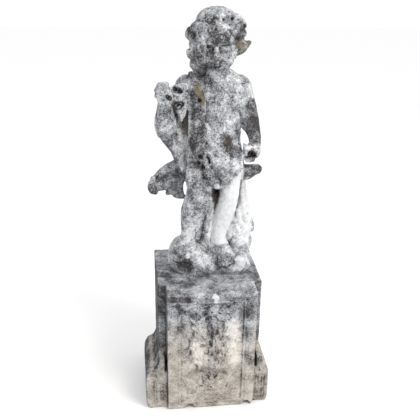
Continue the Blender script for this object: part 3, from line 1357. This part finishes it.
    def open_gaps(self, block: Block, stone: Piece) -> None:
        """Cut the two gaps that are open to the back: inside the bent arm, and beside the thigh."""
        for centre, radii, turn in (
            ((14.2, 3, 52.6), (1.15, 14, 3.3), (-20, -24, -7)),
            ((-8.3, 5, 32.6), (0.8, 14, 2.9), (-20, 0, -7)),
        ):
            cutter = Block("gap", block.origin, block.unit)
            cutter.lump(centre, radii, turn)
            tool = cutter.shapes[0]
            finish_with(stone, "BOOLEAN", operation="DIFFERENCE", solver="EXACT", object=tool)
            bpy.data.objects.remove(tool)

    def cut_details(self, block: Block, stone: Piece) -> None:
        """Press, drill and wear the surface."""
        carver = Carver(stone)
        unit = block.unit
        head = Head()
        # Nostrils, eye hollows, the line between the lips, and the navel
        for side in (-1, 1):
            carver.press(block.place(head.at(0.9 * side, -8.8, -5.0)), (0.005, 0.006, 0.004), 0.003)
            carver.press(block.place(head.at(1.3 * side, -7.2, -0.9)), (0.011, 0.012, 0.010), 0.006)
        lips = [head.at(x, -8.3 + 0.25 * x * x, -6.9) for x in (-2.0, -0.7, 0.7, 2.0)]
        carver.groove(block.path(*lips), 0.005, 0.0045)
        carver.press(block.place((3.4, -5.0, 56.6)), (0.010, 0.02, 0.009), 0.005)
        # Fold of the loose end, then the deep fold of the swag
        carver.groove(block.path((-18.9, 4.2, 37.2), (-18.4, 3.6, 34.5), (-17, 4, 31.6)), 0.012, 0.010)
        carver.settle()
        swag = block.path((-0.9, -5.8, 48.6), (0.1, -6, 45.4), (1.6, -6.2, 42), (3.9, -6.1, 38.9))
        carver.groove(swag, 0.012, 0.009)
        carver.settle()
        # Drill holes in the bunches, the band, the hand and the hair
        drill_way = Vector((0.1, 1, -0.25))
        for centre, radius, depth in (
            ((-12.7, -4.7, 72.8), 0.8, 1.8), ((-11.8, -4.6, 72.3), 0.9, 1.8),
            ((-10.8, -4.4, 71.9), 0.8, 1.8), ((-12.2, -5, 67.4), 0.9, 1.8), ((-11.3, -4.8, 66.6), 1, 1.8),
            ((-10.4, -4.6, 67.5), 0.9, 1.6), ((-15.4, -8, 70.8), 0.7, 1.6), ((-14.7, -7.6, 70.2), 0.8, 1.6),
            ((-4.2, -4.6, 68.7), 0.75, 1.6), ((-3.7, -5, 48.3), 0.8, 1.2), ((-4.2, -5, 46), 0.7, 1),
            ((-2.6, -5.2, 44.4), 0.7, 1), ((14.4, -6.4, 49.4), 1.1, 2.2), ((15.8, -5.8, 49), 1, 2),
            ((6.5, -4.8, 96), 0.55, 1), ((11.2, -2.6, 93.6), 0.6, 1.2),
        ):
            carver.drill(block.place(centre), radius * unit, depth * unit, drill_way)
        carver.settle()
        carver.roughen(0.030, 0.0012, 3.7)
        carver.roughen(0.012, 0.0009, 9.1)
        carver.settle()
        carver.pit(0.010, 0.0018, 0.30, 5.3)
        carver.settle()

    def flatten_bed(self, stone: Piece) -> None:
        """Cut the underside flat where it meets the pedestal."""
        with editing(stone):
            level = {"plane_co": (0, 0, self.bed), "plane_no": (0, 0, 1)}
            bpy.ops.mesh.bisect(**level, use_fill=True, clear_inner=True)

    def dress(self, stone: Piece) -> None:
        """Give the stone its weathering and its finish."""
        block = self.block("places")
        surface = Surface(stone)
        dark_places = self.black_places + self.face_marks(dark=True)
        pale_places = self.washed_places + self.face_marks(dark=False)
        shares = {
            Weathering.WASHED: surface.patches(block, pale_places),
            Weathering.BLACKENED: surface.patches(block, dark_places),
            Weathering.MOSSY: surface.patches(block, self.mossy_places),
            Weathering.EARTHY: surface.patches(block, self.earthy_places),
            Weathering.SHELTERED: surface.shelter(16, 0.12),
            Weathering.HOLLOW: surface.hollows(14, 0.0022),
        }
        coat(surface, shares, WeatheredStone("putto_limestone", contrast=0.9))

    def build(self) -> Piece:
        """Carve and dress the figure.

        Returns:
            The finished piece.
        """
        stone = self.carve()
        self.dress(stone)
        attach(stone, "root")
        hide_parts("cherub_figure")
        return stone


@dataclass
class Pedestal:
    """Block, front slab with its carved panel, and side scrolls as one stone."""

    height: float = 0.52
    block_width: float = 0.40
    block_depth: float = 0.31
    slab_width: float = 0.34
    slab_projection: float = 0.085
    lip_height: float = 0.024
    lip_projection: float = 0.007
    panel_width: float = 0.240
    panel_top_margin: float = 0.045
    panel_foot_margin: float = 0.030
    panel_sink: float = 0.005
    relief: float = 0.012
    scroll_height: float = 0.225
    scroll_setback: float = 0.017
    scroll_depth: float = 0.25
    right_projection: float = 0.054
    left_projection: float = 0.032
    grain: float = 0.0026
    washed_places: tuple[Patch, ...] = patches_from(
        (((-5.8, -19.5, 31), (-5, -19.5, 23)), 4.6, 0.7, 0.9),
        (((8, -19.5, 38), (8.2, -19.5, 33), (9.2, -19.5, 21)), 4.6, 0.8, 0.9),
        (((-16, -20, 52), (15, -20, 52)), 1.5, 0.25, 0.9),
        (((-8.5, -19.5, 41), (-4, -19.5, 39.6)), 1.5, 0.6, 0.8),
        (((2.7, -19.5, 27), (3.2, -19.5, 24.6)), 1.6, 0.4, 0.9),
        (((-4.6, -19.6, 16), (-0.2, -19.6, 14.4), (4.6, -19.6, 16)), 2.8, 0.22, 0.9),
        (((1, -19.8, 50.7), (1.4, -19.8, 48.4)), 1.7, 0.8, 0.5),
        (((-7, -19.8, 49.6), (-5.8, -19.8, 49.4)), 0.9, 0.7, 0.5),
        (((13.5, -19.8, 48.7),), 1.0, 0.8, 0.5),
        (((3.8, -19.5, 29.2), (7.8, -19.5, 25.3)), 0.3, 0.8, 0.6),
        (((10.6, -19.5, 12.2), (15.7, -19.5, 6.9)), 0.3, 0.8, 0.6),
        (((4.4, -19.5, 5.4), (14.8, -19.5, 0.4)), 0.3, 0.8, 0.6),
    )
    black_places: tuple[Patch, ...] = patches_from(
        (((-17, -19.8, 50.2), (-9.6, -19.8, 49.6)), 1.8, 1.3, 0.5),
        (((-13, -19.6, 47.4), (-11.6, -19.6, 44)), 1.5, 1.0, 0.6),
        (((-5, -19.8, 47.6), (-4.2, -19.8, 46.2)), 1.2, 1.1, 0.5),
        (((-2.6, -19.8, 49.4),), 1.3, 1.3, 0.5), (((8, -19.6, 46.6),), 1.4, 0.8, 0.6),
        (((-1.7, -19.6, 40.8),), 1.4, 1.5, 0.5),
        (((-0.6, -19.6, 38), (0.2, -19.6, 35.4), (-0.4, -19.6, 29.5)), 1.3, 1.0, 0.7),
        (((0.6, -19.6, 24), (0.2, -19.6, 19)), 2.2, 0.25, 0.6),
        (((-6.1, -19.6, 16), (-0.2, -19.6, 13.8), (6.2, -19.6, 15.5)), 3.8, 0.18, 0.4),
        (((-0.2, -19.6, 18), (-0.2, -19.6, 10)), 3.4, 0.18, 0.4),
        (((-3.3, -19.6, 12.4),), 0.9, 1.3, 0.5),
        (((14.4, -19.6, 46), (14.4, -19.6, 20)), 2.8, 0.3, 0.8),
        (((-17, -3, 52), (-14, -8, 52), (-9, -12.5, 52)), 3.0, 0.7, 0.6),
        (((-16, -16, 52), (-12, -17, 52)), 2.0, 0.4, 0.8),
    )
    earthy_places: tuple[Patch, ...] = patches_from(
        (((-10, -19.6, 4), (-4, -19.6, 2), (8, -19.6, 3)), 3.0, 0.3, 0.8),
        (((0, -6, 52), (10, -6, 52)), 5.0, 0.25, 0.8),
    )

    @property
    def back(self) -> float:
        """How far back the block reaches."""
        return (self.block_depth + self.slab_projection) / 2

    @property
    def slab_front(self) -> float:
        """Where the lip's front is."""
        return -self.back

    @property
    def slab_face(self) -> float:
        """Where the slab's face is."""
        return self.slab_front + self.lip_projection

    def box(self, low: Point, high: Point, edge: float) -> Piece:
        """A block between two corners with worn edges."""
        size = Vector(high) - Vector(low)
        bpy.ops.mesh.primitive_cube_add(size=1, location=(Vector(low) + Vector(high)) / 2, scale=size)
        made = bpy.context.object
        bpy.ops.object.transform_apply(location=True, rotation=True, scale=True)
        if edge:
            finish_with(made, "BEVEL", width=edge, segments=3)
        return made

    def scroll(self, side: int, projection: float) -> Piece:
        """A side scroll: a cove under the block's side, then a round shoulder down to the foot."""
        half = self.block_width / 2
        shape = (
            (0, 1, 0), (0.12, 0.91, 0), (0.24, 0.84, 0), (0.42, 0.795, 0), (0.66, 0.775, 0), (0.88, 0.7, 0),
            (1, 0.58, 0), (1, 0.28, 0), (0.94, 0.07, 0), (0.72, 0, 0),
        )
        outline = [(half - 0.02, 0.0), (half - 0.02, self.scroll_height)]
        for mark in curve_through(list(shape), 4):
            outline.append((half + projection * min(mark.x, 1.0), self.scroll_height * max(mark.y, 0.0)))
        curve = bpy.data.curves.new("scroll_side", "CURVE")
        curve.dimensions = "2D"
        curve.fill_mode = "BOTH"
        curve.extrude = self.scroll_depth / 2
        spline = curve.splines.new("POLY")
        spline.use_cyclic_u = True
        spline.points.add(len(outline) - 1)
        for mark, (x, z) in zip(spline.points, outline):
            mark.co = (side * x, z, 0, 1)
        made = bpy.data.objects.new("scroll_side", curve)
        bpy.context.scene.collection.objects.link(made)
        made.rotation_euler = (pi / 2, 0, 0)
        made.location = (0, self.slab_face + self.scroll_setback + self.scroll_depth / 2, 0)
        pick_only(made)
        bpy.ops.object.convert(target="MESH")
        made = bpy.context.object
        with editing(made):
            bpy.ops.mesh.remove_doubles(threshold=0.0001)
            bpy.ops.mesh.normals_make_consistent(inside=False)
        return made

    def carve(self) -> Piece:
        """Unite the blocks and cut their ornament.

        Returns:
            The pedestal as one closed stone.
        """
        half, slab = self.block_width / 2, self.slab_width / 2
        front = self.back - self.block_depth
        parts = [
            self.box((-half, front, 0), (half, self.back, self.height), 0.003),
            self.box((-slab, self.slab_face, 0), (slab, front + 0.02, self.height - 0.004), 0.003),
            self.box(
                (-slab, self.slab_front, self.height - self.lip_height), (slab, front + 0.02, self.height),
                0.006,
            ),
            self.scroll(-1, self.right_projection), self.scroll(1, self.left_projection),
        ]
        for side in (-1, 1):
            inner, outer = sorted((side * (slab - 0.02), side * (half + 0.003)))
            face = self.slab_face + self.scroll_setback
            parts.append(self.box((inner, face, 0), (outer, front + 0.02, 0.168), 0.002))
        stone = merge("scrolled_pedestal", parts)
        regrow(stone, self.grain, 4)
        self.cut_ornament(stone)
        points = read_rows(stone, "co")
        points[:, 0] += PLAN_SHIFT
        points[:, 2] = np.clip(points[:, 2], 0, self.height)
        write_points(stone, points)
        thin_out(stone)
        return stone

    def foliage(self, x: Rows, z: Rows) -> Rows:
        """Height share, 0 to 1, of the candelabrum of leaves at points of the panel."""
        x = np.abs(x)
        top = self.height - self.panel_top_margin
        heights = [
            0.55 * bead(x, z, (0, 0.27), 0.013, 0.16), 0.9 * bead(x, z, (0, 0.372), 0.019, 0.022),
            0.8 * bead(x, z, (0, 0.25), 0.017, 0.015),
            1.0 * leaf(x, z, (0.016, 0.165), (0.084, 0.325), 0.04, 5),
            0.9 * leaf(x, z, (0.014, 0.285), (0.078, 0.412), 0.032, 4),
            0.8 * leaf(x, z, (0.012, top - 0.03), (0.104, top - 0.036), 0.022, 3),
            0.7 * leaf(x, z, (0.01, top - 0.044), (0.06, top - 0.084), 0.017, 2),
            0.9 * bead(x, z, (0, top - 0.034), 0.024, 0.022),
            0.5 * leaf(x, z, (0.034, 0.058), (0.102, 0.11), 0.024, 3),
            0.9 * bead(x, z, (0, 0.1), 0.018, 0.016),
        ]
        for k in range(4):
            a = radians(90 - 34 * k)
            tip = (0.062 * cos(a), 0.100 + 0.066 * sin(a))
            heights.append(0.85 * leaf(x, z, (0.008 * cos(a), 0.100 + 0.008 * sin(a)), tip, 0.017, 1))
        return np.max(heights, axis=0)

    def cut_ornament(self, stone: Piece) -> None:
        """Cut the panel and the scrolls, then break and wear the stone."""
        carver = Carver(stone)
        self.cut_panel(carver)
        self.cut_scrolls(carver)
        carver.settle()
        for level in (0.100, 0.250, 0.290, 0.330, 0.372, self.height - self.panel_top_margin - 0.034):
            mouth = Vector((-0.003, self.slab_face - 0.004, level))
            carver.drill(mouth, 0.0045, 0.007, Vector((0, 1, 0)))
        for place, width, deep in ((-0.084, 0.020, 1.0), (0.140, 0.019, 1.0), (0.172, 0.010, 0.8)):
            centre = Vector((place, self.slab_face, -0.004))
            carver.break_off(centre, (width, 0.030 * deep, 0.026 * deep), (0, 9, 12))
        carver.settle()
        carver.roughen(0.040, 0.0012, 1.3)
        carver.roughen(0.012, 0.0007, 6.9)
        carver.settle()
        worn = fade((carver.points[:, 2] - 0.30) / 0.2)
        carver.pit(0.010, 0.0022, 0.30, 2.9, 0.35 + 0.65 * worn)
        carver.settle()

    def cut_panel(self, carver: Carver) -> None:
        """Sink the panel, raise its foliage, and cut the line round it."""
        points = carver.points
        x, y, z = points.T
        half = self.panel_width / 2
        top = self.height - self.panel_top_margin
        on_face = (np.abs(y - self.slab_face) < 0.004) & (carver.normals[:, 1] < -0.6)
        rim = np.minimum.reduce([half - np.abs(x), top - z, z - self.panel_foot_margin])
        sunk = fade(rim / 0.004 + 0.5)
        height = self.foliage(x, z) * self.relief * fade((rim - 0.006) / 0.006)
        points[on_face, 1] += (sunk * self.panel_sink - height)[on_face]
        carver.settle()
        line = half + 0.010
        low, high = self.panel_foot_margin - 0.010, top + 0.010
        corners = [(-line, low), (line, low), (line, high), (-line, high), (-line, low)]
        for ends in zip(corners, corners[1:]):
            carver.groove([Vector((x, self.slab_face, z)) for x, z in ends], 0.0045, 0.0025)

    def cut_scrolls(self, carver: Carver) -> None:
        """Cut two nested loops on each scroll's face, with a knob above them."""
        face = self.slab_face + self.scroll_setback
        slab, half = self.slab_width / 2, self.block_width / 2
        for side, projection in ((-1, self.right_projection), (1, self.left_projection)):
            middle = side * (slab + (half + projection - slab) * 0.44)
            for radius in (0.018, 0.018 - 0.010):
                path = [
                    Vector((middle + radius * cos(tau * k / 24), face, level + radius * sin(tau * k / 24)))
                    for level, turn in ((0.026, range(13, 24)), (0.114, range(13)))
                    for k in turn
                ]
                carver.groove([*path, path[0]], 0.004, 0.003)
            carver.press(Vector((middle + 0.002 * side, face, 0.154)), (0.010, 0.010, 0.010), -0.006)

    def dress(self, stone: Piece) -> None:
        """Give the stone its weathering and its finish."""
        block = Block("places", Vector((PLAN_SHIFT, 0, 0)), 0.01)
        surface = Surface(stone)
        high = fade((surface.points[:, 2] - 0.34) / 0.14)
        side = fade(-surface.normals[:, 0] * 1.6 - 0.3)
        behind = fade((surface.points[:, 1] - self.slab_face - 0.006) / 0.01)
        behind *= surface.normals[:, 2] < 0.6
        dark = 0.22 * high + 0.66 * side + 0.32 * behind + surface.patches(block, self.black_places)
        shares = {
            Weathering.WASHED: surface.patches(block, self.washed_places),
            Weathering.BLACKENED: dark,
            Weathering.MOSSY: 0 * high,
            Weathering.EARTHY: surface.patches(block, self.earthy_places),
            Weathering.SHELTERED: surface.shelter(12, 0.1),
            Weathering.HOLLOW: surface.hollows(14, 0.0034),
        }
        finish = WeatheredStone("pedestal_limestone", contrast=0.72, sandy_from=0.34, sandy_to=0.60)
        coat(surface, shares, finish)

    def build(self) -> Piece:
        """Carve and dress the pedestal.

        Returns:
            The finished piece.
        """
        stone = self.carve()
        self.dress(stone)
        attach(stone, "root")
        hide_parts("pedestal")
        return stone


def leaf(
    x: Rows, z: Rows, root: tuple[float, float], tip: tuple[float, float], width: float, lobes: int
) -> Rows:
    """Height share of one leaf of carved foliage: a swollen blade with a midrib and lobed edges.

    Args:
        x: places across the panel.
        z: places up the panel.
        root: where the leaf starts.
        tip: where it ends.
        width: half its width.
        lobes: how many lobes its edge has.

    Returns:
        The height share at each place.
    """
    along = (tip[0] - root[0], tip[1] - root[1])
    length = (along[0] ** 2 + along[1] ** 2) ** 0.5
    s = np.clip(((x - root[0]) * along[0] + (z - root[1]) * along[1]) / length**2, 0, 1)
    t = ((z - root[1]) * along[0] - (x - root[0]) * along[1]) / length
    lobed = 0.80 + 0.20 * np.cos(tau * lobes * s)
    reach = np.maximum(width * np.sin(pi * s**0.8) ** 0.7 * lobed, 1e-5)
    share = np.abs(t) / reach
    swell = np.sqrt(np.clip(1 - share**2, 0, 1))
    ribs = 0.84 + 0.16 * np.cos(tau * lobes * (s - 0.35 * share))
    midrib = 1 - 0.35 * np.clip(1 - share / 0.16, 0, 1)
    return swell * ribs * midrib * (0.55 + 0.45 * np.sin(pi * s)) * (share < 1) * (s > 0) * (s < 1)


def bead(x: Rows, z: Rows, middle: tuple[float, float], radius_x: float, radius_z: float) -> Rows:
    """Height share of a rounded knob.

    Args:
        x: places across the panel.
        z: places up the panel.
        middle: the knob's middle.
        radius_x: its half width.
        radius_z: its half height.

    Returns:
        The height share at each place.
    """
    return np.sqrt(np.clip(1 - ((x - middle[0]) / radius_x) ** 2 - ((z - middle[1]) / radius_z) ** 2, 0, 1))


@dataclass
class Studio:
    """Floor, lights and camera round the statue."""

    lens: float = 51.747
    camera_place: Point = (-0.2585, -2.1097, 1.6456)
    pitch: float = 22.294
    yaw: float = 7.509
    roll: float = 0.986

    def floor(self) -> None:
        """Lay the floor just under the pedestal."""
        bpy.ops.mesh.primitive_plane_add(size=30, location=(0, 0, -0.0005))
        plane = bpy.context.object
        plane.name = "studio_floor"
        plane.data.materials.append(PaleFloor().make())

    def lamp(self, name: str, place: Point, size: float, power: float, colour: str) -> None:
        """A soft square lamp that faces the figure.

        Args:
            name: the lamp's name.
            place: where it stands.
            size: its side in metres.
            power: its power in watts.
            colour: the light's colour.
        """
        bpy.ops.object.light_add(type="AREA", location=place)
        lamp = bpy.context.object
        lamp.name = name
        lamp.data.size = size
        lamp.data.energy = power
        lamp.data.color = shade(colour)[:3]
        lamp.rotation_euler = (Vector((0, 0, 0.9)) - Vector(place)).to_track_quat("-Z", "Y").to_euler()

    def lights(self) -> None:
        """An even pale sky and one large soft lamp high at the front right."""
        world = bpy.data.worlds.new("pale_sky")
        bpy.context.scene.world = world
        world.use_nodes = True
        world.node_tree.nodes["Background"].inputs["Color"].default_value = shade("#ffffff")
        world.node_tree.nodes["Background"].inputs["Strength"].default_value = 1.02
        self.lamp("high_front_right", (1.7, -2.0, 3.2), 1.4, 75, "#fffaf4")

    def camera(self) -> None:
        """Set the camera where the photograph was taken from."""
        yaw, pitch, roll = radians(self.yaw), radians(self.pitch), radians(self.roll)
        ahead = Vector((sin(yaw) * cos(pitch), cos(yaw) * cos(pitch), -sin(pitch)))
        right = ahead.cross(Vector((0, 0, 1))).normalized()
        up = right.cross(ahead)
        right, up = right * cos(roll) + up * sin(roll), up * cos(roll) - right * sin(roll)
        bpy.ops.object.camera_add()
        camera = bpy.context.object
        camera.name = "photograph_view"
        turn = Matrix((right, up, -ahead)).transposed().to_4x4()
        camera.matrix_world = Matrix.Translation(self.camera_place) @ turn
        camera.data.lens = self.lens
        camera.data.sensor_width = 36
        bpy.context.scene.camera = camera

    def build(self) -> None:
        """Set up floor, lights and camera."""
        self.floor()
        self.lights()
        self.camera()
        bpy.context.scene.view_settings.view_transform = "Standard"


def main() -> None:
    """Build both stones and the studio, and report each piece."""
    logging.basicConfig(level=logging.INFO, format="%(name)s: %(message)s")
    Studio().build()
    for maker in (Pedestal(), Putto()):
        piece = maker.build()
        faces = sum(len(p.vertices) - 2 for p in piece.data.polygons)
        log.info("%s has %d triangles", piece.name, faces)


if __name__ == "__main__":
    main()
